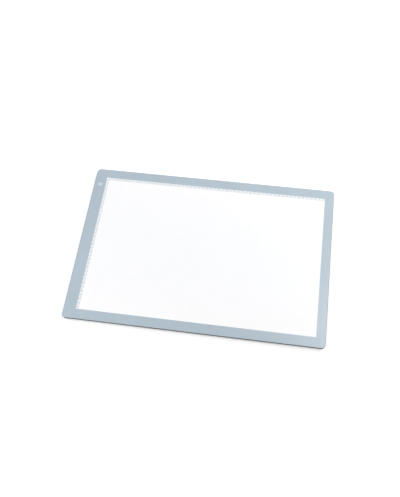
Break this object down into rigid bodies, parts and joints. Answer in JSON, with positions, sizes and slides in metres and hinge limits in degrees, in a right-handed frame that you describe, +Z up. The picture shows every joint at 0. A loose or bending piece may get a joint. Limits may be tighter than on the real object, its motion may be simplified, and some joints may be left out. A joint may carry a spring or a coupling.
{
  "type": "light box",
  "caption": "Slim edge-lit tracing light box: flat opal window in a printed border with ruler ticks, round push key, shallow dark frame, metal back plate and rubber feet.",
  "frame": {"origin": "middle of the bounding box's underside, on the surface that the feet rest on", "axes": "+X along the pad's length, +Y towards its rear edge, +Z up, out of the lit window"},
  "size_m": [0.601, 0.398, 0.0081],
  "materials": {
    "panel": "satin printed acrylic, opal window",
    "key": "satin moulded plastic",
    "housing": "fine moulded texture",
    "plate": "brushed, clear anodised",
    "screws": "dark plated",
    "feet": "matt",
    "tape": "matt",
    "film": "satin",
    "clear": "polished",
    "bumper": "matt",
    "circuit": "solder mask",
    "package": "moulded",
    "ceramic": "fired",
    "led": "moulded",
    "connector": "moulded",
    "red_wire": "smooth sleeve",
    "black_wire": "smooth sleeve",
    "contact": "plated"
  },
  "bodies": {
    "pad": {"front_panel": "panel", "housing_frame": "housing", "panel_tape": "tape", "back_plate": "plate", "back_plate_screws": "screws", "rubber_feet": "feet", "reflector_sheet": "film", "light_guide": "clear", "diffuser_sheet": "film", "guide_bumpers": "bumper", "rear_led_strip": "circuit", "front_led_strip": "circuit", "rear_leds": "led", "front_leds": "led", "control_board": "circuit", "board_insulator": "film", "board_screws": "screws", "switch_body": "package", "key_lights": "led", "driver_chips": "package", "driver_coil": "package", "board_capacitors": "ceramic", "lead_sockets": "connector", "lead_plugs": "connector", "positive_leads": "red_wire", "negative_leads": "black_wire", "inlet_body": "package", "inlet_pin": "contact"},
    "key": {"power_key": "key", "switch_plunger": "connector"}
  },
  "joints": [
    {"name": "key_press", "type": "slide", "parent": "pad", "child": "key", "axis": [0, 0, -1], "range_m": [0, 0.0005], "stiffness_N_per_m": 3000}
  ]
}
